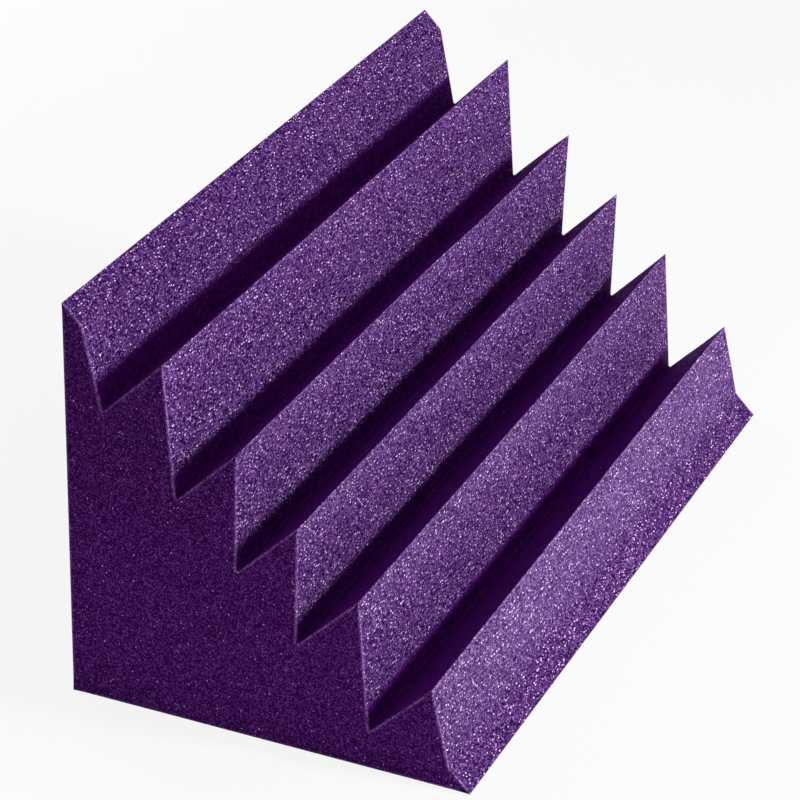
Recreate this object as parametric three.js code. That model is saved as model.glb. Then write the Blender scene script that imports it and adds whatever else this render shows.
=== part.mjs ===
// Corner bass trap: one right-angled wedge of open-cell foam with a ridged slope,
// held in the corner of a room by adhesive tabs on its two wall faces.
// Millimetres, +Z up. The wedge lies along Y, its lower wall face is level and
// its other wall face stands upright at its low X side.

import * as THREE from "three";

// Foam wedge
const faceWidth = 304.8;
const wedgeLength = 609.6;
const topLand = 21.2;
const toeLand = 24;
const innerPitch = 64;
const outerPitch = 77.2;
const ridgeHeight = 31.3;
const grooveDepth = 33.7;
const ridgeRadius = 0.5;
const grooveRadius = 1.1;
const neckRadius = 4;
const cornerRadius = 0.4;

// Adhesive tabs, two rows of two on each wall face
const tabSide = 50.8;
const tabThickness = 1;
const tabRadius = 6;
const tabEndInset = 63.5;
const tabHeelInset = 38.1;
const tabToeInset = 63.5;

// Peel-off liner over each tab, with a tongue to pull it by
const linerThickness = 0.2;
const linerMargin = 1.5;
const tongueWidth = 22;
const tongueReach = 12;
const tongueRadius = 5;
const tongueRootRadius = 2;

// Half the number of straight steps in each rounded corner
const arcSteps = 3;

// Colours, roughness and metalness
const foamFinish = { color: 0x551f73, roughness: 0.95, metalness: 0 };
const tabFinish = { color: 0xe9e6dc, roughness: 0.6, metalness: 0 };
const linerFinish = { color: 0xd9b98a, roughness: 0.45, metalness: 0 };

const halfSlope = faceWidth / Math.SQRT2;
const standOff = tabThickness + linerThickness;

// One node of the model.
function namedMesh(name, geometry, finish) {
  const mesh = new THREE.Mesh(geometry, new THREE.MeshStandardMaterial(finish));
  mesh.name = name;
  return mesh;
}

// Closed outline through corners { at, radius } given anticlockwise, each one rounded.
function roundedOutline(corners) {
  const outline = new THREE.Shape();
  corners.forEach((corner, index) => {
    const before = corners.at(index - 1);
    const after = corners[(index + 1) % corners.length];
    const back = before.at.clone().sub(corner.at).normalize();
    const ahead = after.at.clone().sub(corner.at).normalize();
    const halfAngle = Math.acos(back.dot(ahead)) / 2;
    const trim = corner.radius / Math.tan(halfAngle);
    const start = corner.at.clone().addScaledVector(back, trim);
    const finish = corner.at.clone().addScaledVector(ahead, trim);
    const inward = back.clone().add(ahead).normalize();
    const centre = corner.at.clone().addScaledVector(inward, corner.radius / Math.sin(halfAngle));
    const startAngle = start.sub(centre).angle();
    const finishAngle = finish.sub(centre).angle();
    const hollow = back.cross(ahead) > 0;
    outline.absarc(centre.x, centre.y, corner.radius, startAngle, finishAngle, hollow);
  });
  return outline;
}

// Point of the wedge's section: along the slope from its middle towards the toe,
// and height above the slope's flat plane.
function slopePoint(along, height) {
  const reach = halfSlope + height;
  return new THREE.Vector2(reach + along, reach - along).divideScalar(Math.SQRT2);
}

// Section of the wedge. Every groove lies square below the ridge on its toe side.
function wedgeOutline() {
  const outerPlace = innerPitch + outerPitch;
  const ridgePlaces = [outerPlace, innerPitch, 0, -innerPitch, -outerPlace];
  const ridges = ridgePlaces.flatMap((place) => [
    { at: slopePoint(place, ridgeHeight), radius: ridgeRadius },
    { at: slopePoint(place, -grooveDepth), radius: grooveRadius },
  ]);
  return roundedOutline([
    { at: new THREE.Vector2(0, 0), radius: cornerRadius },
    { at: new THREE.Vector2(faceWidth, 0), radius: cornerRadius },
    { at: slopePoint(halfSlope - toeLand, 0), radius: neckRadius },
    ...ridges,
    { at: slopePoint(topLand - halfSlope, 0), radius: neckRadius },
    { at: new THREE.Vector2(0, faceWidth), radius: cornerRadius },
  ]);
}

function foamWedge() {
  const geometry = new THREE.ExtrudeGeometry(wedgeOutline(), {
    depth: wedgeLength,
    bevelEnabled: false,
    curveSegments: arcSteps,
  });
  const wedge = namedMesh("foam_wedge", geometry, foamFinish);
  wedge.rotation.x = Math.PI / 2;
  wedge.position.y = wedgeLength / 2;
  return wedge;
}

// Flat plate that hangs below its own origin.
function plate(outline, thickness) {
  const geometry = new THREE.ExtrudeGeometry(outline, {
    depth: thickness,
    bevelEnabled: false,
    curveSegments: arcSteps,
  });
  return geometry.translate(0, 0, -thickness);
}

function tabOutline() {
  const half = tabSide / 2;
  return roundedOutline([
    { at: new THREE.Vector2(-half, -half), radius: tabRadius },
    { at: new THREE.Vector2(half, -half), radius: tabRadius },
    { at: new THREE.Vector2(half, half), radius: tabRadius },
    { at: new THREE.Vector2(-half, half), radius: tabRadius },
  ]);
}

// A little larger than the tab all round, with its tongue at high Y.
function linerOutline() {
  const half = tabSide / 2 + linerMargin;
  const halfTongue = tongueWidth / 2;
  const tip = half + tongueReach;
  const radius = tabRadius + linerMargin;
  return roundedOutline([
    { at: new THREE.Vector2(-half, -half), radius },
    { at: new THREE.Vector2(half, -half), radius },
    { at: new THREE.Vector2(half, half), radius },
    { at: new THREE.Vector2(halfTongue, half), radius: tongueRootRadius },
    { at: new THREE.Vector2(halfTongue, tip), radius: tongueRadius },
    { at: new THREE.Vector2(-halfTongue, tip), radius: tongueRadius },
    { at: new THREE.Vector2(-halfTongue, half), radius: tongueRootRadius },
    { at: new THREE.Vector2(-half, half), radius },
  ]);
}

// Four tabs with their liners on one wall face. The face lies level in this group,
// facing down, and away is the X direction from the heel to the toe of the face.
function wallTabs(faceName, away) {
  const group = new THREE.Group();
  const heelPlace = tabHeelInset + tabSide / 2;
  const toePlace = faceWidth - tabToeInset - tabSide / 2;
  const rowPlace = wedgeLength / 2 - tabEndInset - tabSide / 2;
  let number = 0;
  for (const side of [-1, 1]) {
    for (const place of [heelPlace, toePlace]) {
      number += 1;
      const seat = new THREE.Group();
      seat.position.set(away * place, side * rowPlace, 0);
      // Each tongue points to the middle of the wedge.
      seat.rotation.z = side > 0 ? Math.PI : 0;
      const tab = namedMesh(`${faceName}_tab_${number}`, plate(tabOutline(), tabThickness), tabFinish);
      const liner = namedMesh(
        `${faceName}_liner_${number}`,
        plate(linerOutline(), linerThickness),
        linerFinish,
      );
      liner.position.z = -tabThickness;
      seat.add(tab, liner);
      group.add(seat);
    }
  }
  return group;
}

// The wedge's right-angled edge runs through this group's origin.
const trap = new THREE.Group();
const baseTabs = wallTabs("base", 1);
const backTabs = wallTabs("back", -1);
backTabs.rotation.y = Math.PI / 2;
trap.add(foamWedge(), baseTabs, backTabs);

// The model's origin is at the middle of its box, level with the lowest liners.
trap.position.set((standOff - faceWidth) / 2, 0, standOff);

const cornerBassTrap = new THREE.Group();
cornerBassTrap.add(trap);

export default cornerBassTrap;
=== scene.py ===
"""Corner bass trap: a ridged wedge of purple open-cell foam, lying on its lower wall face.

Metres, +Z up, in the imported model's frame. The foam is one closed mesh that stands for the
plain foam solid. The adhesive tabs and their liners sit on the two wall faces.
"""

import math
from collections import namedtuple

import bpy
import numpy as np
from mathutils import Matrix, Vector, geometry, noise


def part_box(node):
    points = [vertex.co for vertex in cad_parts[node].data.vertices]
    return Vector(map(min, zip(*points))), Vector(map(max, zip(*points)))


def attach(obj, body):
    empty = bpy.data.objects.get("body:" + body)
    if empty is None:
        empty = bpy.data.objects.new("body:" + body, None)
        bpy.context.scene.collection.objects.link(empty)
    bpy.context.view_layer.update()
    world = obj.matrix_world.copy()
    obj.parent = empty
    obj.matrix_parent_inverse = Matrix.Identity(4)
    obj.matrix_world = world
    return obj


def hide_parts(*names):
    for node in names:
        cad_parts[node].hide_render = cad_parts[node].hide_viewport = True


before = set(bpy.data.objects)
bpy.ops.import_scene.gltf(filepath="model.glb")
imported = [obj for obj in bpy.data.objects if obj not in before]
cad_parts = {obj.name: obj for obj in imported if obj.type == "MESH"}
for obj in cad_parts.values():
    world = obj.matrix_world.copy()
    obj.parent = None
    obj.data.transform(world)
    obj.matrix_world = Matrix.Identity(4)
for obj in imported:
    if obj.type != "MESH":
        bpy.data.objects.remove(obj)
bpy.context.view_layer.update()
scene = bpy.context.scene

# Foam section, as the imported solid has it
FACE = 0.3048
LENGTH = 0.6096
TOP_LAND = 0.0212
TOE_LAND = 0.024
INNER_PITCH = 0.064
OUTER_PITCH = 0.0772
RIDGE_HEIGHT = 0.0313
GROOVE_DEPTH = 0.0337
RIDGE_RADIUS = 0.0005
GROOVE_RADIUS = 0.0011
NECK_RADIUS = 0.004
CORNER_RADIUS = 0.0004
HALF_SLOPE = FACE / math.sqrt(2)
SLOPE_NORMAL = (math.sqrt(0.5), 0, math.sqrt(0.5))

# Camera, fitted to the photograph
CAMERA_PLACE = Vector((0.8250, -2.0144, 1.2603))
CAMERA_RIGHT = Vector((0.915296, 0.402297, 0.019773))
CAMERA_DOWN = Vector((0.202428, -0.417010, -0.886074))
CAMERA_LENS = 147.32
CAMERA_SENSOR = 36.0
CAMERA_REACH = 50.0


def make_camera():
    data = bpy.data.cameras.new("camera")
    data.lens = CAMERA_LENS
    data.sensor_width = CAMERA_SENSOR
    data.clip_end = CAMERA_REACH
    camera = bpy.data.objects.new("camera", data)
    scene.collection.objects.link(camera)
    right = CAMERA_RIGHT.normalized()
    up = -CAMERA_DOWN.normalized()
    back = right.cross(up)
    turn = Matrix((right, up, back)).transposed()
    camera.matrix_world = Matrix.Translation(CAMERA_PLACE) @ turn.to_4x4()
    scene.camera = camera


# Spacing of the foam's points down the slope, on the wall faces, along the length and inside
# the two ends
SLOPE_STEP = 0.0042
WALL_STEP = 0.010
LENGTH_STEP = 0.0026
CAP_STEP = 0.0048
# Width of the narrow facet that keeps the shade of a rounded corner off the flat beside it
HOLD_STEP = 0.0005
ARC_STEP = math.radians(22.5)
LEAST_ARC_STEPS = 2
# Rounding of the edges around the two ends
END_ROUND = 0.0009
END_ROUND_STEPS = 4
# Width of the line of painted highlight, frayed by the cells, beside that rounding. This share of it is
# kept on the end itself.
FRINGE = 0.0012
CAP_FRINGE_SHARE = 0.85
# Within this reach of a thin edge, the foam is rounded less and wanders more
TIP_REACH = 0.007
# Faces that meet at more than this angle show a sharp edge
FOAM_CREASE = math.radians(30)

# Unevenness of the cut faces: amplitude, wavelength and a start of its own in the noise
BROAD_WAVE = (0.00022, 0.045, 0)
FINE_WAVE = (0.00005, 0.0065, 17)
TIP_WAVE = (0.00012, 0.0048, 31)
WALL_WAVE_SHARE = 0.5

# How far each soft ridge's tip leans towards the toe: the top ridge first, and each one
# at even steps from the near end to the far one
RIDGE_LEANS = (
    (0.0, 0.0, -0.0002, -0.0002, 0.0),
    (0.0002, 0.0, 0.0, 0.0019, 0.0018),
    (0.0, -0.0003, 0.0, 0.0, 0.0),
    (-0.0003, -0.0003, -0.0003, -0.0005, -0.0008),
    (-0.0004, -0.0006, -0.0011, -0.0015, -0.0009),
)
# How much deeper each groove's bottom lies at the far end than in the near half, the top
# groove first
GROOVE_SINKS = (0.0023, 0.0016, 0.0017, 0.0022, 0.0015)
# Depth under the grooves over which the foam inside stops following them
SINK_FADE = 0.03
# A point this near a ridge's place still belongs to it
PLACE_MARGIN = 0.003

# Blender's triangulation, kept to the inside of its outline, joins points nearer than this
INSIDE_ONLY = 1
JOIN_WITHIN = 1e-7

# A point of the foam's outline: its place and outward normal, whether it lies on a wall face,
# and how near it is to a thin edge, from 0 to 1
OutlinePoint = namedtuple("OutlinePoint", "at outward on_wall near_tip")


class Corner:
    """One rounded corner of an outline."""

    def __init__(self, at, radius, wall=False, tip=False):
        self.at = Vector(at)
        self.radius = radius
        # the straight run after this corner lies on a wall of the room
        self.wall = wall
        # the corner is a thin edge of the foam
        self.tip = tip


def slope_point(along, height):
    """Point of the section: along the slope from its middle, and above its flat plane."""
    reach = HALF_SLOPE + height
    return Vector((reach + along, reach - along)) / math.sqrt(2)


def ridge_places():
    """Places of the ridges along the slope, from the top one to the one nearest the toe."""
    outer = INNER_PITCH + OUTER_PITCH
    return (-outer, -INNER_PITCH, 0, INNER_PITCH, outer)


def section_corners():
    """Corners of the foam's section. Every groove lies square below a ridge."""
    corners = [
        Corner((0, 0), CORNER_RADIUS, wall=True, tip=True),
        Corner((FACE, 0), CORNER_RADIUS, tip=True),
        Corner(slope_point(HALF_SLOPE - TOE_LAND, 0), NECK_RADIUS),
    ]
    for place in reversed(ridge_places()):
        corners.append(Corner(slope_point(place, RIDGE_HEIGHT), RIDGE_RADIUS, tip=True))
        corners.append(Corner(slope_point(place, -GROOVE_DEPTH), GROOVE_RADIUS))
    corners.append(Corner(slope_point(TOP_LAND - HALF_SLOPE, 0), NECK_RADIUS))
    corners.append(Corner((0, FACE), CORNER_RADIUS, wall=True, tip=True))
    return corners


def arc_points(before, corner, after):
    """Points of the corner's arc, from its first to its last."""
    back = (before.at - corner.at).normalized()
    ahead = (after.at - corner.at).normalized()
    half_angle = back.angle(ahead) / 2
    trim = corner.radius / math.tan(half_angle)
    centre = corner.at + (back + ahead).normalized() * (corner.radius / math.sin(half_angle))
    first = corner.at + back * trim - centre
    last = corner.at + ahead * trim - centre
    turn = math.pi - 2 * half_angle
    if first.x * last.y - first.y * last.x < 0:
        turn = -turn
    steps = max(LEAST_ARC_STEPS, math.ceil(abs(turn) / ARC_STEP))
    points = []
    for step in range(steps + 1):
        angle = turn * step / steps
        cos, sin = math.cos(angle), math.sin(angle)
        points.append(centre + Vector((first.x * cos - first.y * sin, first.x * sin + first.y * cos)))
    return points


def corner_arcs(corners):
    """The arc of each corner of a closed outline."""
    count = len(corners)
    return [arc_points(corners[i - 1], corners[i], corners[(i + 1) % count]) for i in range(count)]


def outward_normals(points):
    """Outward normal at each point of a closed outline that runs anticlockwise."""
    normals = []
    for index, point in enumerate(points):
        before = (point - points[index - 1]).normalized()
        after = (points[(index + 1) % len(points)] - point).normalized()
        way = (before + after).normalized()
        normals.append(Vector((way.y, -way.x)))
    return normals


def foam_outline():
    """The points of the foam's section in order, in the model's X and Z."""
    corners = section_corners()
    arcs = corner_arcs(corners)
    points, walls = [], []
    for index, corner in enumerate(corners):
        start = arcs[index][-1]
        following = arcs[(index + 1) % len(corners)][0]
        run = (following - start).length
        way = (following - start) / run
        spacing = WALL_STEP if corner.wall else SLOPE_STEP
        inner = run - 2 * HOLD_STEP
        steps = max(1, round(inner / spacing))
        points += arcs[index]
        walls += [corner.wall or corners[index - 1].wall] * len(arcs[index])
        for step in range(steps + 1):
            points.append(start + way * (HOLD_STEP + inner * step / steps))
            walls.append(corner.wall)
    tips = [corner.at for corner in corners if corner.tip]
    near_tip = [max(0.0, 1 - min((p - tip).length for tip in tips) / TIP_REACH) for p in points]
    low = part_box("foam_wedge")[0]
    points = [Vector((p.x + low.x, p.y + low.z)) for p in points]
    return [OutlinePoint(*fields) for fields in zip(points, outward_normals(points), walls, near_tip)]


def drawn_in(outline, depth):
    """The places of the outline drawn in by a depth, less so near the thin edges."""
    return [p.at - p.outward * depth * (1 - p.near_tip) for p in outline]


def length_rows():
    """Place along Y, share of the end's rounding and share of the painted highlight line of each ring.
    """
    half = LENGTH / 2
    near = []
    for step in range(END_ROUND_STEPS + 1):
        angle = math.pi / 2 * (1 - step / END_ROUND_STEPS)
        near.append((-half + END_ROUND * (1 - math.sin(angle)), 1 - math.cos(angle), 1.0))
    start = -half + END_ROUND + FRINGE
    run = LENGTH - 2 * (END_ROUND + FRINGE)
    steps = round(run / LENGTH_STEP)
    middle = [(start + run * step / steps, 0.0, 0.0) for step in range(steps + 1)]
    far = [(-y, round_share, edge_highlight) for y, round_share, edge_highlight in reversed(near)]
    return near + middle + far


def wave(place, shape):
    amplitude, wavelength, offset = shape
    return amplitude * noise.noise(place / wavelength + Vector((offset, 0, 0)))


def uneven(place, outward, on_wall=False, near_tip=0.0):
    """Moves a point of the surface a little way along its outward normal."""
    amount = wave(place, BROAD_WAVE) + wave(place, FINE_WAVE)
    amount += near_tip * wave(place, TIP_WAVE)
    if on_wall:
        amount = -abs(amount) * WALL_WAVE_SHARE
    return place + outward * amount


def ridge_lean(ridge, y):
    """Lean of one ridge's tip at a place along the foam's length."""
    leans = RIDGE_LEANS[ridge]
    at = (y / LENGTH + 0.5) * (len(leans) - 1)
    step = min(max(int(at), 0), len(leans) - 2)
    share = at - step
    smooth_share = share * share * (3 - 2 * share)
    return leans[step] + (leans[step + 1] - leans[step]) * smooth_share


def lean_shift(y, along, height):
    """Shift of a ridge's point along the slope, most of all at its tip."""
    ridge = sum(along > at - PLACE_MARGIN for at in ridge_places()) - 1
    if ridge < 0:
        return Vector((0, 0, 0))
    # the last ridge ends at the flat strip along the toe, the others in a groove
    foot = 0 if ridge == len(RIDGE_LEANS) - 1 else -GROOVE_DEPTH
    share = max(0, height - foot) / (RIDGE_HEIGHT - foot)
    shift = ridge_lean(ridge, y) * share ** 2 / math.sqrt(2)
    return Vector((shift, 0, -shift))


def sink_shift(y, along, height):
    """Shift of a groove's point straight down, most of all at its bottom and the far end."""
    groove = sum(along > at + PLACE_MARGIN for at in ridge_places())
    if groove == len(GROOVE_SINKS):
        return Vector((0, 0, 0))
    # the face over the top groove begins at the flat strip, the others at a ridge
    head = 0 if along < ridge_places()[0] - PLACE_MARGIN else RIDGE_HEIGHT
    if height > -GROOVE_DEPTH:
        share = (head - height) / (head + GROOVE_DEPTH)
    else:
        share = 1 + (height + GROOVE_DEPTH) / SINK_FADE
    far_share = max(0, 2 * y / LENGTH)
    return Vector((0, 0, -GROOVE_SINKS[groove] * far_share ** 2 * max(0, share)))


def as_cut(place, low):
    """Moves a point of the regular section to where the soft foam has it."""
    x, z = place.x - low.x, place.z - low.z
    along, height = (x - z) / math.sqrt(2), (x + z - FACE) / math.sqrt(2)
    return place + lean_shift(place.y, along, height) + sink_shift(place.y, along, height)


def ring_sides(ring):
    """Start, way and squared length of each side of a ring."""
    start = np.array([tuple(p) for p in ring])
    way = np.roll(start, -1, axis=0) - start
    return start, way, (way ** 2).sum(1)


def clear_of_ring(point, sides, least):
    """True where a point lies inside the ring and no nearer to it than the least gap."""
    start, way, span = sides
    at = np.array(point)
    share = np.clip(((at - start) * way).sum(1) / span, 0, 1)
    gap = np.hypot(*(start + way * share[:, None] - at).T)
    if gap.min() < least:
        return False
    crosses = (start[:, 1] > at[1]) != (start[:, 1] + way[:, 1] > at[1])
    with np.errstate(divide="ignore", invalid="ignore"):
        place = start[:, 0] + way[:, 0] * (at[1] - start[:, 1]) / way[:, 1]
    return bool((crosses & (place > at[0])).sum() % 2)


def inner_points(ring, step):
    """Points of a triangular grid inside a ring, clear of it by half a step."""
    low = Vector((min(p.x for p in ring), min(p.y for p in ring)))
    high = Vector((max(p.x for p in ring), max(p.y for p in ring)))
    row_step = step * math.sqrt(3) / 2
    rows = int((high.y - low.y) / row_step)
    columns = int((high.x - low.x) / step)
    sides = ring_sides(ring)
    points = []
    for row in range(1, rows):
        shift = step / 2 if row % 2 else 0
        for column in range(1, columns):
            point = Vector((low.x + column * step + shift, low.y + row * row_step))
            if clear_of_ring(point, sides, step / 2):
                points.append(point)
    return points


def cap_faces(ring, step):
    """Inner points and faces of the flat shape inside a ring of points."""
    inner = inner_points(ring, step)
    count = len(ring)
    edges = [(i, (i + 1) % count) for i in range(count)]
    whole_ring = [list(range(count))]
    found = geometry.delaunay_2d_cdt(ring + inner, edges, whole_ring, INSIDE_ONLY, JOIN_WITHIN)
    _, _, faces, sources, _, _ = found
    # each corner goes by the number of the given point that it comes from
    return inner, [[sources[i][0] for i in face] for face in faces]


def foam_side(outline, rows):
    """Points, their shares of the painted highlight line and the faces between the foam's two ends."""
    places, edge_highlight, faces = [], [], []
    for y, round_share, fringe_share in rows:
        for point, at in zip(outline, drawn_in(outline, END_ROUND * round_share)):
            outward = Vector((point.outward.x, 0, point.outward.y))
            places.append(uneven(Vector((at.x, y, at.y)), outward, point.on_wall, point.near_tip))
            edge_highlight.append(fringe_share)
    count = len(outline)
    for row in range(len(rows) - 1):
        first, second = row * count, (row + 1) * count
        for i in range(count):
            j = (i + 1) % count
            faces.append((first + i, second + i, second + j, first + j))
    return places, edge_highlight, faces


def foam_end(outline, y, way, outer, inner):
    """Points and faces of one end, whose own points start at inner and its outer ring at outer."""
    ring = drawn_in(outline, END_ROUND + FRINGE * CAP_FRINGE_SHARE)
    middle, cap = cap_faces(ring, CAP_STEP)
    places = [uneven(Vector((p.x, y, p.y)), Vector((0, way, 0))) for p in ring + middle]
    faces = [[inner + i for i in face] for face in cap]
    for i in range(len(ring)):
        j = (i + 1) % len(ring)
        faces.append([outer + i, outer + j, inner + j, inner + i])
    if way > 0:
        faces = [face[::-1] for face in faces]
    return places, faces


def new_object(name, places, faces, crease):
    """A mesh object that is smooth but for edges sharper than the crease angle."""
    mesh = bpy.data.meshes.new(name)
    mesh.from_pydata(places, [], faces)
    mesh.update()
    mesh.shade_smooth()
    mesh.set_sharp_from_angle(angle=crease)
    made = bpy.data.objects.new(name, mesh)
    scene.collection.objects.link(made)
    return made


def make_foam():
    outline = foam_outline()
    rows = length_rows()
    places, edge_highlight, faces = foam_side(outline, rows)
    last_ring = len(places) - len(outline)
    for y, way, outer in ((rows[0][0], -1, 0), (rows[-1][0], 1, last_ring)):
        end_places, end_faces = foam_end(outline, y, way, outer, len(places))
        places += end_places
        edge_highlight += [0.0] * len(end_places)
        faces += end_faces
    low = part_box("foam_wedge")[0]
    foam = new_object("foam_body", [as_cut(place, low) for place in places], faces, FOAM_CREASE)
    foam.data.attributes.new("edge_highlight", "FLOAT", "POINT").data.foreach_set("value", edge_highlight)
    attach(foam, "root")
    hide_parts("foam_wedge")
    return foam


# Adhesive tabs and the liners over them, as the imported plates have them
TABS_PER_FACE = 4
TAB_SIDE = 0.0508
TAB_THICKNESS = 0.001
TAB_RADIUS = 0.006
LINER_THICKNESS = 0.0002
LINER_MARGIN = 0.0015
TONGUE_WIDTH = 0.022
TONGUE_REACH = 0.012
TONGUE_RADIUS = 0.005
TONGUE_ROOT_RADIUS = 0.002
# A plate's cut edge: how far in from its outline, at which share of its thickness
TAB_EDGE = ((0.00016, 0.0), (0.00004, 0.12), (0.0, 0.5), (0.00004, 0.88), (0.00016, 1.0))
LINER_EDGE = ((0.00003, 0.0), (0.0, 0.3), (0.0, 0.7), (0.00003, 1.0))
# A tongue leans to the foam at this slope, beginning over this length
TONGUE_LEAN = 0.065
TONGUE_BEND = 0.004
PLATE_STEP = 0.003
PLATE_CREASE = math.radians(50)


def tab_corners():
    half = TAB_SIDE / 2
    places = ((-half, -half), (half, -half), (half, half), (-half, half))
    return [Corner(place, TAB_RADIUS) for place in places]


def liner_corners():
    """A little larger than the tab all round, with its tongue at high Y."""
    half = TAB_SIDE / 2 + LINER_MARGIN
    half_tongue = TONGUE_WIDTH / 2
    tip = half + TONGUE_REACH
    radius = TAB_RADIUS + LINER_MARGIN
    return [
        Corner((-half, -half), radius),
        Corner((half, -half), radius),
        Corner((half, half), radius),
        Corner((half_tongue, half), TONGUE_ROOT_RADIUS),
        Corner((half_tongue, tip), TONGUE_RADIUS),
        Corner((-half_tongue, tip), TONGUE_RADIUS),
        Corner((-half_tongue, half), TONGUE_ROOT_RADIUS),
        Corner((-half, half), radius),
    ]


def plate_outline(corners):
    arcs = corner_arcs(corners)
    points = []
    for index, arc in enumerate(arcs):
        following = arcs[(index + 1) % len(arcs)][0]
        steps = max(1, round((following - arc[-1]).length / PLATE_STEP))
        points += arc
        points += [arc[-1].lerp(following, step / steps) for step in range(1, steps)]
    return points


def plate_shape(corners, edge, base, thickness):
    """Points (across, along, out from the wall face) and faces of a plate."""
    points = plate_outline(corners)
    normals = outward_normals(points)
    count = len(points)
    places, faces = [], []
    for inset, share in edge:
        out = base + thickness * share
        places += [(p.x - n.x * inset, p.y - n.y * inset, out) for p, n in zip(points, normals)]
    last_row = count * (len(edge) - 1)
    for first in range(0, last_row, count):
        for i in range(count):
            j = (i + 1) % count
            faces.append((first + i, first + j, first + count + j, first + count + i))
    for start, upper in ((0, False), (last_row, True)):
        end = len(places)
        ring = [Vector(place[:2]) for place in places[start:start + count]]
        inner, cap = cap_faces(ring, PLATE_STEP)
        places += [(p.x, p.y, places[start][2]) for p in inner]
        for face in cap:
            numbers = [start + i if i < count else end + i - count for i in face]
            faces.append(numbers if upper else numbers[::-1])
    return places, faces


def with_lean(place):
    """Turns a liner's tongue a little to the foam."""
    across, along, out = place
    beyond = max(0.0, along - TAB_SIDE / 2)
    return across, along, out - TONGUE_LEAN * beyond ** 2 / (beyond + TONGUE_BEND)


def make_plate(node, seat, shape, look):
    """A tab or liner. The seat is the middle of its tab on the foam's wall face."""
    places, faces = shape
    # every tongue points to the middle of the foam's length
    side = 1 if seat.y < 0 else -1
    on_base = node.startswith("base")
    at = []
    for across, along, out in places:
        if on_base:
            at.append((seat.x + side * across, seat.y + side * along, seat.z - out))
        else:
            at.append((seat.x - out, seat.y + side * along, seat.z + side * across))
    if on_base:
        faces = [face[::-1] for face in faces]
    piece = new_object(node + "_piece", at, faces, PLATE_CREASE)
    piece.data.materials.append(look)
    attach(piece, "root")
    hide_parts(node)


def make_tabs(tab_look, liner_look):
    """The tabs with their liners on the lower wall face and on the upright one."""
    tab_shape = plate_shape(tab_corners(), TAB_EDGE, 0.0, TAB_THICKNESS)
    places, faces = plate_shape(liner_corners(), LINER_EDGE, TAB_THICKNESS, LINER_THICKNESS)
    liner_shape = ([with_lean(place) for place in places], faces)
    for face in ("base", "back"):
        for number in range(1, TABS_PER_FACE + 1):
            low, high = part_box(f"{face}_tab_{number}")
            seat = (low + high) / 2
            if face == "base":
                seat.z = high.z
            else:
                seat.x = high.x
            make_plate(f"{face}_tab_{number}", seat, tab_shape, tab_look)
            make_plate(f"{face}_liner_{number}", seat, liner_shape, liner_look)


# Turn of the grid of cells, so that no cut face lies along one of its layers
GRID_TURN = (0.4, 0.7, 0.2)
# What a ramp's two ends come out as, where it falls
FALLING = (1.0, 0.0)


class Tree:
    """Adds nodes to the node tree of a material or world and links them."""

    def __init__(self, owner):
        owner.use_nodes = True
        self.nodes = owner.node_tree.nodes
        self.links = owner.node_tree.links

    def add(self, kind, inputs=None, **settings):
        node = self.nodes.new(kind)
        for name, value in settings.items():
            setattr(node, name, value)
        for name, value in (inputs or {}).items():
            self.feed(node.inputs[name], value)
        return node

    def feed(self, socket, value):
        if isinstance(value, bpy.types.NodeSocket):
            self.links.new(value, socket)
        else:
            socket.default_value = value

    def set_shader(self, values):
        """Sets or links inputs of the material's own shader."""
        for name, value in values.items():
            self.feed(self.nodes["Principled BSDF"].inputs[name], value)

    def maths(self, operation, *values):
        return self.add("ShaderNodeMath", dict(enumerate(values)), operation=operation).outputs[0]

    def vector_maths(self, operation, *values):
        return self.add("ShaderNodeVectorMath", dict(enumerate(values)), operation=operation).outputs[0]

    def dot(self, vector, other):
        node = self.add("ShaderNodeVectorMath", {0: vector, 1: other}, operation="DOT_PRODUCT")
        return node.outputs["Value"]

    def ramp(self, value, span, ends=(0.0, 1.0)):
        """Smooth step over the span, from the first of its ends to the second."""
        node = self.add("ShaderNodeMapRange", interpolation_type="SMOOTHSTEP")
        names = ("Value", "From Min", "From Max", "To Min", "To Max")
        for name, given in zip(names, (value, *span, *ends)):
            self.feed(node.inputs[name], given)
        return node.outputs["Result"]

    def stretched(self, place, shape):
        """The place in a space where a box of that shape is a unit cube, turned after that."""
        scale = [1 / size for size in shape]
        inputs = {"Vector": place, "Rotation": GRID_TURN, "Scale": scale}
        return self.add("ShaderNodeMapping", inputs).outputs[0]

    def cells(self, place, size):
        inputs = {"Vector": place, "Scale": 1 / size}
        return self.add("ShaderNodeTexVoronoi", inputs, voronoi_dimensions="3D").outputs

    def chances(self, cells):
        """Three chances of each cell, from 0 to 1."""
        return self.add("ShaderNodeSeparateColor", {"Color": cells["Color"]}).outputs

    def grain(self, place, size, detail):
        inputs = {"Vector": place, "Scale": 1 / size, "Detail": detail}
        return self.add("ShaderNodeTexNoise", inputs).outputs["Fac"]

    def bump(self, height, strength, distance, invert=False):
        inputs = {"Height": height, "Strength": strength, "Distance": distance}
        return self.add("ShaderNodeBump", inputs, invert=invert).outputs["Normal"]

    def stops(self, value, colours):
        """Colour ramp through (position, colour) pairs."""
        node = self.add("ShaderNodeValToRGB", {"Fac": value})
        elements = node.color_ramp.elements
        while len(elements) < len(colours):
            elements.new(0.5)
        for element, (position, colour) in zip(elements, colours):
            element.position = position
            element.color = colour
        return node.outputs["Color"]

    def blend(self, share, a, b):
        node = self.add("ShaderNodeMix", data_type="RGBA")
        # the sockets of a colour mix have these numbers
        for number, value in ((0, share), (6, a), (7, b)):
            self.feed(node.inputs[number], value)
        return node.outputs[2]

    def seen(self):
        """Over 0 for rays that show a surface to the camera, in gloss or through glass."""
        path = self.add("ShaderNodeLightPath").outputs
        seen = self.maths("ADD", path["Is Camera Ray"], path["Is Glossy Ray"])
        return self.maths("ADD", seen, path["Is Transmission Ray"])
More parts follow.
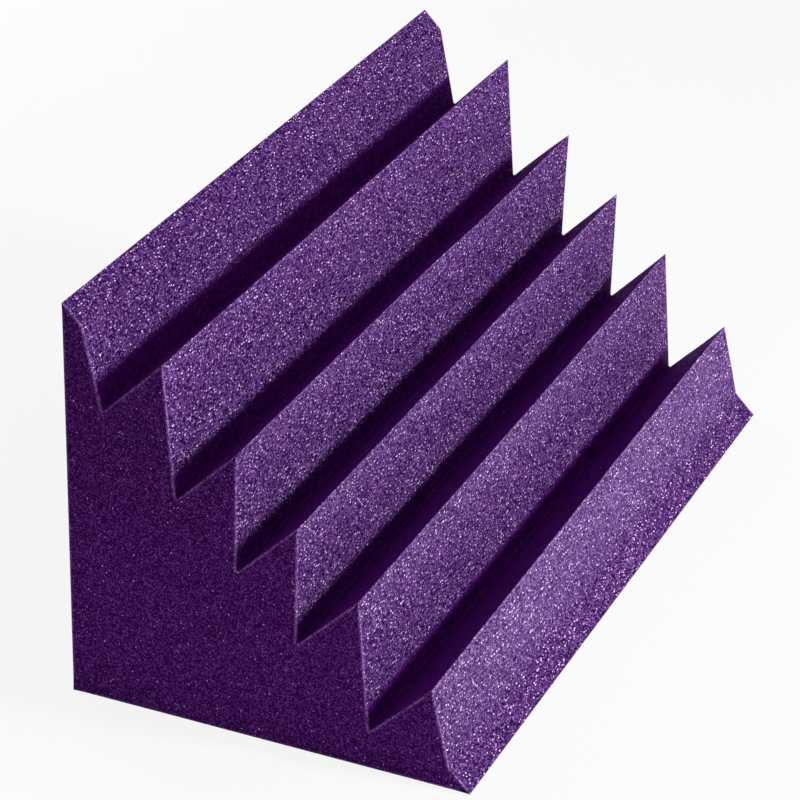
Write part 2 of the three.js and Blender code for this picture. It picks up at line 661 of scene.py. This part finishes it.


# Foam colours, linear, from the darkest pore through the common cell to the brightest speck:
# paler, with a painted sheen, on the faces that look towards the key lamp, and plain on all others
SHEEN_STOPS = (
    (0.00, (0.0040, 0.0000, 0.0120, 1)),
    (0.17, (0.0300, 0.0028, 0.0700, 1)),
    (0.33, (0.0920, 0.0250, 0.1680, 1)),
    (0.48, (0.1900, 0.0740, 0.3000, 1)),
    (0.66, (0.4000, 0.2300, 0.5500, 1)),
    (1.00, (0.9500, 0.7200, 1.0000, 1)),
)
DEEP_STOPS = (
    (0.00, (0.0040, 0.0000, 0.0090, 1)),
    (0.17, (0.0280, 0.0000, 0.0600, 1)),
    (0.25, (0.0530, 0.0012, 0.1040, 1)),
    (0.33, (0.0800, 0.0115, 0.1480, 1)),
    (0.48, (0.1650, 0.0300, 0.2750, 1)),
    (0.66, (0.3400, 0.1300, 0.4800, 1)),
    (1.00, (0.8500, 0.5500, 0.9800, 1)),
)
COMMON_LEVEL = 0.33
# Painted shade: even colours deep in the grooves, where the key lamp's shadow falls,
# and on the ridges' faces that turn from the key lamp
GROOVE_SHADE_COLOUR = (0.076, 0.0006, 0.146, 1)
TURNED_SHADE_COLOUR = (0.107, 0.0037, 0.180, 1)
# Share of the painted shade in the colour of those places
PAINTED_SHADE_SHARE = 0.82

# Zones of the foam's surface. The faces that look roughly towards the key lamp take a painted sheen:
# paler colours, all the specks and stronger contrast.
KEY_LAMP_WAY = (0.93, 0.0, 0.36)
# How squarely a face looks towards the key lamp, along the foam's length or out from the slope,
# where it begins to count as one that does, and where it is one
SHEEN_FACING = (-0.1, 0.75)
END_FACING = (0.4, 0.8)
RIDGED_FACING = (-0.4, -0.2)
# The same for turning from the key lamp, where a face's painted shade is full, and where it ends
TURNED_FACING = (-0.35, -0.2)
# Heights over the slope's flat plane: under the first one the faces take the painted shade of
# the grooves and lose their painted sheen and most specks, and over the second they are free of it
GROOVE_SHADE_HEIGHTS = (-0.0255, -0.0195)

# Foam cells and the finer ones between them. Their size along X, Y and Z is in this
# proportion: longest along the foam's length.
CELL = 0.00145
FINE_CELL = 0.0008
CELL_SHAPE = (0.85, 1.65, 1.0)
# What makes a cell bright: its own chance, the finer cells' chance, and its middle over its rim
CELL_SHARE = 0.14
FINE_SHARE = 0.37
DOME_SHARE = 0.46
# The chance, and the distance from its middle, at which a cell is neither bright nor dark
EVEN_CHANCE = 0.5
EVEN_DISTANCE = 0.5
# Contrast of the cells off the faces with painted sheen, lower there as under soft light
DEEP_CONTRAST = 0.8
# Broad patches, from where to where their noise acts, and how far it moves the brightness
MOTTLE = 0.012
MOTTLE_DETAIL = 3.0
MOTTLE_SPAN = (0.25, 0.75)
MOTTLE_SWING = 0.015

# Bright specks: painted glints of the cell walls. Their radii, from least to most, are shares of their
# spacing, and within the core share of its radius a speck is whole.
SPECK_SPACING = 0.0018
SPECK_SHAPE = (0.9, 2.2, 1.0)
SPECK_RADIUS = (0.3, 0.5)
SPECK_CORE_SHARE = 0.25
# Strong specks are the fewer the higher this power of their chance
SPECK_POWER = 1.5
SPECK_BRIGHTNESS = 1.25
# Off the faces with painted sheen only the specks with a chance over this one are left
RARE_SPECK = 0.7
# The dark pore around a speck reaches this many of its radii
PORE_REACH = 2.2
PORE_DEPTH = 0.14

# Painted highlight along the cut edges, where the light catches the frayed cell walls
EDGE_HIGHLIGHT_COLOUR = (0.36, 0.17, 0.515, 1)
# Width of the painted highlight along each ridge's tip, square to the slope, the share of it where
# the highlight is at its full strength, and that strength
TIP_FRINGE = 0.0016
TIP_FRINGE_CORE_SHARE = 0.25
TIP_FRINGE_SHARE = 0.6
# Strength of the line from one cell to the next, and how far from a fine cell's middle it ends
FRAY_CHANCES = (0.2, 0.8)
FRAY_STRENGTHS = (0.45, 1.6)
FRAY_DISTANCES = (0.75, 0.25)

# Relief of the cells, and how far each cell's wall leans out of the cut face
SPECK_RELIEF = 0.6
FOAM_BUMP_STRENGTH = 0.5
FOAM_BUMP_DEPTH = 0.0006
CELL_TILT = 1.1
FOAM_ROUGHNESS = (0.95, 0.6)
FOAM_SHINE = 0.02


def slope_height(tree, place):
    """Height over the slope's flat plane."""
    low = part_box("foam_wedge")[0]
    plane = (low.x + low.z + FACE) / math.sqrt(2)
    return tree.maths("SUBTRACT", tree.dot(place, SLOPE_NORMAL), plane)


def foam_zones(tree, normal, height):
    """Shares of the painted sheen on the faces towards the key lamp, of the painted shade deep in the
    grooves and of the painted shade on the turned faces.
    """
    facing = tree.dot(normal, KEY_LAMP_WAY)
    above_groove_shade = tree.ramp(height, GROOVE_SHADE_HEIGHTS)
    pale = tree.maths("MULTIPLY", tree.ramp(facing, SHEEN_FACING), above_groove_shade)
    # 1 on the ridged slope, 0 on the ends and wall faces
    off_ends = tree.ramp(tree.maths("ABSOLUTE", tree.dot(normal, (0, 1, 0))), END_FACING, FALLING)
    ridged = tree.maths("MULTIPLY", tree.ramp(tree.dot(normal, SLOPE_NORMAL), RIDGED_FACING), off_ends)
    groove_shade = tree.maths("MULTIPLY", ridged, tree.maths("SUBTRACT", 1.0, above_groove_shade))
    turned_shade = tree.maths("MULTIPLY", ridged, tree.ramp(facing, TURNED_FACING, FALLING))
    return pale, groove_shade, turned_shade


def foam_specks(tree, place, pale):
    """Bright specks, painted glints of the cell walls, each with its own size and strength, and the
    dark pore around each one.
    """
    specks = tree.cells(tree.stretched(place, SPECK_SHAPE), SPECK_SPACING)
    strength_chance, size_chance, rare_chance = tree.chances(specks)
    strength = tree.maths("POWER", strength_chance, SPECK_POWER)
    radius = tree.ramp(size_chance, (0.0, 1.0), SPECK_RADIUS)
    core = tree.maths("MULTIPLY", radius, SPECK_CORE_SHARE)
    rim = tree.maths("MULTIPLY", radius, PORE_REACH)
    speck = tree.maths("MULTIPLY", tree.ramp(specks["Distance"], (radius, core)), strength)
    pore = tree.maths("MULTIPLY", tree.ramp(specks["Distance"], (rim, radius)), strength)
    shown = tree.maths("MAXIMUM", pale, tree.ramp(rare_chance, (RARE_SPECK, 1.0)))
    return tree.maths("MULTIPLY", speck, shown), pore


def cell_level(tree, chance, fine_chance, distance, mottle, pore, pale):
    """Brightness of a cell, from dark open pores to pale closed ones."""
    level = tree.maths("MULTIPLY", tree.maths("SUBTRACT", chance, EVEN_CHANCE), CELL_SHARE)
    fine = tree.maths("SUBTRACT", fine_chance, EVEN_CHANCE)
    level = tree.maths("MULTIPLY_ADD", fine, FINE_SHARE, level)
    dome = tree.maths("SUBTRACT", EVEN_DISTANCE, distance)
    level = tree.maths("MULTIPLY_ADD", dome, DOME_SHARE, level)
    level = tree.maths("ADD", level, tree.ramp(mottle, MOTTLE_SPAN, (-MOTTLE_SWING, MOTTLE_SWING)))
    level = tree.maths("MULTIPLY_ADD", pore, -PORE_DEPTH, level)
    contrast = tree.ramp(pale, (0.0, 1.0), (DEEP_CONTRAST, 1.0))
    return tree.maths("MULTIPLY_ADD", level, contrast, COMMON_LEVEL)


def foam_edge_highlight(tree, height, chance, fine_distance):
    """Share of the painted highlight, frayed by the cells, along the edges of the two ends and along
    the ridges' tips.
    """
    ends = tree.add("ShaderNodeAttribute", attribute_name="edge_highlight").outputs["Fac"]
    tip_span = (RIDGE_HEIGHT - TIP_FRINGE, RIDGE_HEIGHT - TIP_FRINGE * TIP_FRINGE_CORE_SHARE)
    tips = tree.ramp(height, tip_span, (0.0, TIP_FRINGE_SHARE))
    fray = tree.ramp(chance, FRAY_CHANCES, FRAY_STRENGTHS)
    fray = tree.maths("MULTIPLY", fray, tree.ramp(fine_distance, FRAY_DISTANCES))
    return tree.maths("MULTIPLY", tree.maths("MAXIMUM", ends, tips), fray)


def foam_normal(tree, relief, cell_colour):
    """Normal of the small relief, with each cell's wall leaning its own way."""
    bump = tree.bump(relief, FOAM_BUMP_STRENGTH, FOAM_BUMP_DEPTH)
    lean = tree.vector_maths("MULTIPLY_ADD", cell_colour, (CELL_TILT,) * 3, (-CELL_TILT / 2,) * 3)
    return tree.vector_maths("NORMALIZE", tree.vector_maths("ADD", bump, lean))


def foam_material():
    material = bpy.data.materials.new("foam")
    tree = Tree(material)
    coords = tree.add("ShaderNodeTexCoord").outputs
    height = slope_height(tree, coords["Object"])
    pale, groove_shade, turned_shade = foam_zones(tree, coords["Normal"], height)

    place = tree.stretched(coords["Object"], CELL_SHAPE)
    cells = tree.cells(place, CELL)
    fine_cells = tree.cells(place, FINE_CELL)
    chance, fray_chance, rough_chance = tree.chances(cells)
    fine_chance = tree.chances(fine_cells)[0]
    mottle = tree.grain(place, MOTTLE, MOTTLE_DETAIL)
    speck, pore = foam_specks(tree, coords["Object"], pale)
    level = cell_level(tree, chance, fine_chance, cells["Distance"], mottle, pore, pale)
    level = tree.maths("MULTIPLY_ADD", speck, SPECK_BRIGHTNESS, level)

    # Painted sheen: the paler colours on the faces towards the key lamp
    colour = tree.blend(pale, tree.stops(level, DEEP_STOPS), tree.stops(level, SHEEN_STOPS))
    # Painted shade deep in the grooves, where the key lamp's shadow falls
    colour = tree.blend(tree.maths("MULTIPLY", groove_shade, PAINTED_SHADE_SHARE), colour, GROOVE_SHADE_COLOUR)
    # Painted look of shade on the ridges' faces turned from the key lamp: even and saturated
    colour = tree.blend(tree.maths("MULTIPLY", turned_shade, PAINTED_SHADE_SHARE), colour, TURNED_SHADE_COLOUR)
    # Painted highlight along the cut edges of the ends and the ridges' tips
    edge_highlight = foam_edge_highlight(tree, height, fray_chance, fine_cells["Distance"])
    relief = tree.maths("MULTIPLY_ADD", speck, SPECK_RELIEF, level)
    tree.set_shader({
        "Base Color": tree.blend(edge_highlight, colour, EDGE_HIGHLIGHT_COLOUR),
        "Roughness": tree.ramp(rough_chance, (0.0, 1.0), FOAM_ROUGHNESS),
        "Normal": foam_normal(tree, relief, cells["Color"]),
        "Specular IOR Level": FOAM_SHINE,
    })
    return material


# Foam tape of the tabs: small closed cells, a little yellowed in patches
TAPE_WHITE = (0.82, 0.81, 0.77, 1)
TAPE_YELLOWED = (0.74, 0.71, 0.62, 1)
TAPE_PIT = (0.50, 0.48, 0.42, 1)
TAPE_PIT_SHARE = 0.5
# Distances from a cell's middle at which its pit begins and is at its deepest
TAPE_PIT_DISTANCES = (0.55, 0.1)
TAPE_CELL = 0.00028
TAPE_PATCH = 0.009
TAPE_PATCH_DETAIL = 4.0
TAPE_PATCH_SPAN = (0.35, 0.65)
TAPE_ROUGH_SPAN = (0.3, 0.7)
TAPE_ROUGHNESS = (0.5, 0.7)
TAPE_BUMP_STRENGTH = 0.6
TAPE_BUMP_DEPTH = 0.00008


def tape_material():
    material = bpy.data.materials.new("tab")
    tree = Tree(material)
    place = tree.add("ShaderNodeTexCoord").outputs["Object"]
    cells = tree.cells(place, TAPE_CELL)
    patch = tree.grain(place, TAPE_PATCH, TAPE_PATCH_DETAIL)
    colour = tree.blend(tree.ramp(patch, TAPE_PATCH_SPAN), TAPE_WHITE, TAPE_YELLOWED)
    pit = tree.ramp(cells["Distance"], TAPE_PIT_DISTANCES)
    depth = tree.maths("MULTIPLY", tree.chances(cells)[0], pit)
    tree.set_shader({
        "Base Color": tree.blend(tree.maths("MULTIPLY", depth, TAPE_PIT_SHARE), colour, TAPE_PIT),
        "Roughness": tree.ramp(patch, TAPE_ROUGH_SPAN, TAPE_ROUGHNESS),
        "Normal": tree.bump(depth, TAPE_BUMP_STRENGTH, TAPE_BUMP_DEPTH, invert=True),
    })
    return material


# Waxed kraft paper of the liners
PAPER_STOPS = (
    (0.28, (0.36, 0.230, 0.120, 1)),
    (0.50, (0.56, 0.385, 0.215, 1)),
    (0.72, (0.70, 0.520, 0.320, 1)),
)
PAPER_FLECK = (0.17, 0.095, 0.045, 1)
# Width and length of a fibre, of a bundle of them and of a fleck
FIBRE = (0.00012, 0.0022)
BUNDLE = (0.0007, 0.007)
FLECK = (0.0006, 0.0022)
FLECK_CHANCE = 0.93
# Distances from a fleck's middle at which it begins and is whole
FLECK_DISTANCES = (0.4, 0.2)
PAPER_CLOUD = 0.0045
# Detail of each noise, and its share of the paper's shade
FIBRE_DETAIL = 2.0
BUNDLE_DETAIL = 3.0
CLOUD_DETAIL = 5.0
FIBRE_SHARE = 0.35
BUNDLE_SHARE = 0.35
CLOUD_SHARE = 0.3
PAPER_SPAN = (0.35, 0.65)
PAPER_ROUGHNESS = (0.38, 0.55)
PAPER_BUMP_STRENGTH = 0.35
PAPER_BUMP_DEPTH = 0.00006
# Patches of wax, from thin to thick
WAX_PATCH = 0.012
WAX_DETAIL = 4.0
WAX_SPAN = (0.35, 0.65)
WAX_COAT = (0.15, 0.45)
WAX_ROUGHNESS = 0.28


def paper_material():
    material = bpy.data.materials.new("liner")
    tree = Tree(material)
    place = tree.add("ShaderNodeTexCoord").outputs["Object"]

    def along_grain(size):
        width, length = size
        return tree.stretched(place, (width, length, width))

    fibre = tree.grain(along_grain(FIBRE), 1.0, FIBRE_DETAIL)
    bundle = tree.grain(along_grain(BUNDLE), 1.0, BUNDLE_DETAIL)
    cloud = tree.grain(place, PAPER_CLOUD, CLOUD_DETAIL)
    level = tree.maths("MULTIPLY_ADD", fibre, FIBRE_SHARE, tree.maths("MULTIPLY", bundle, BUNDLE_SHARE))
    level = tree.maths("MULTIPLY_ADD", cloud, CLOUD_SHARE, level)
    flecks = tree.cells(along_grain(FLECK), 1.0)
    fleck = tree.ramp(tree.chances(flecks)[0], (FLECK_CHANCE, 1.0))
    fleck = tree.maths("MULTIPLY", fleck, tree.ramp(flecks["Distance"], FLECK_DISTANCES))
    wax = tree.grain(place, WAX_PATCH, WAX_DETAIL)
    tree.set_shader({
        "Base Color": tree.blend(fleck, tree.stops(level, PAPER_STOPS), PAPER_FLECK),
        "Roughness": tree.ramp(level, PAPER_SPAN, PAPER_ROUGHNESS),
        "Normal": tree.bump(level, PAPER_BUMP_STRENGTH, PAPER_BUMP_DEPTH),
        "Coat Weight": tree.ramp(wax, WAX_SPAN, WAX_COAT),
        "Coat Roughness": WAX_ROUGHNESS,
    })
    return material


# Lamps, each with the point that it faces. The key lamp lights the pale faces, front and foot
# the near end, and card, a panel on the floor, the faces over the toe from below. Fill and
# behind soften the shade, and under lights the underside through the floor.
Lamp = namedtuple("Lamp", "place aim width height watts")
LAMPS = {
    "key": Lamp((1.80, 0.0, 1.15), (0, 0, 0.15), 0.28, 0.28, 39.0),
    "front": Lamp((-0.02, -0.80, 0.04), (-0.02, 0, 0.04), 0.4, 0.08, 0.28),
    "foot": Lamp((-0.12, -0.46, 0.012), (-0.12, -0.3, 0.012), 0.34, 0.02, 0.028),
    "card": Lamp((0.30, 0.0, 0.003), (0.30, 0, 1), 0.2, 0.9, 0.5),
    "fill": Lamp((1.09, 0.0, 1.83), (0, 0, 0.15), 1.2, 1.2, 4.8),
    "behind": Lamp((-1.5, 0.9, 0.55), (0, 0, 0.15), 0.9, 0.6, 10.0),
    "under": Lamp((-0.02, 0.0, -1.0), (-0.02, 0, 0), 0.4, 0.8, 3.0),
    "sheen": Lamp((0.26, 0.15, 0.003), (0.26, 0.15, 1), 0.16, 0.8, 13.0),
}
# Lamps that only surfaces with a shine answer to
SHINE_ONLY = ("sheen",)


def make_lamps():
    for name, given in LAMPS.items():
        data = bpy.data.lights.new(name, "AREA")
        data.shape = "RECTANGLE"
        data.size = given.width
        data.size_y = given.height
        data.energy = given.watts
        lamp = bpy.data.objects.new(name, data)
        scene.collection.objects.link(lamp)
        lamp.location = given.place
        facing = Vector(given.aim) - Vector(given.place)
        lamp.rotation_euler = facing.to_track_quat("-Z", "Y").to_euler()
        lamp.visible_camera = False
        lamp.visible_diffuse = name not in SHINE_ONLY


# Level of the world as it lights the object, and as it is seen
WORLD_LEVEL = 0.21
WHITE_LEVEL = 0.95
WHITE = (1, 1, 1, 1)


def make_world():
    world = bpy.data.worlds.new("world")
    scene.world = world
    tree = Tree(world)
    background = tree.nodes["Background"]
    background.inputs["Color"].default_value = WHITE
    level = tree.ramp(tree.seen(), (0.0, 1.0), (WORLD_LEVEL, WHITE_LEVEL))
    tree.feed(background.inputs["Strength"], level)


# Pale floor. This share of what is seen of it is its own even glow, and the rest takes shadow.
FLOOR_SIDE = 30.0
FLOOR_COLOUR = (0.8, 0.8, 0.8, 1)
FLOOR_GLOW = 0.88


def floor_material():
    material = bpy.data.materials.new("floor")
    tree = Tree(material)
    tree.nodes.remove(tree.nodes["Principled BSDF"])
    diffuse = tree.add("ShaderNodeBsdfDiffuse", {"Color": FLOOR_COLOUR}).outputs[0]
    glow = tree.add("ShaderNodeEmission", {"Color": WHITE, "Strength": 1.0}).outputs[0]
    glow_share = tree.maths("MULTIPLY", tree.seen(), FLOOR_GLOW)
    pale = tree.add("ShaderNodeMixShader", {0: glow_share, 1: diffuse, 2: glow}).outputs[0]
    # light from the lamp below passes, and a view from below sees the object
    backfacing = tree.add("ShaderNodeNewGeometry").outputs["Backfacing"]
    shadow_ray = tree.add("ShaderNodeLightPath").outputs["Is Shadow Ray"]
    clear_share = tree.maths("MAXIMUM", backfacing, shadow_ray)
    clear = tree.add("ShaderNodeBsdfTransparent").outputs[0]
    floor = tree.add("ShaderNodeMixShader", {0: clear_share, 1: pale, 2: clear}).outputs[0]
    tree.feed(tree.nodes["Material Output"].inputs["Surface"], floor)
    return material


def make_floor():
    half = FLOOR_SIDE / 2
    corners = [(-half, -half, 0), (half, -half, 0), (half, half, 0), (-half, half, 0)]
    floor = new_object("floor", corners, [(0, 1, 2, 3)], 0.0)
    floor.data.materials.append(floor_material())


make_camera()
foam = make_foam()
foam.data.materials.append(foam_material())
make_tabs(tape_material(), paper_material())
make_lamps()
make_world()
make_floor()
scene.view_settings.view_transform = "Standard"
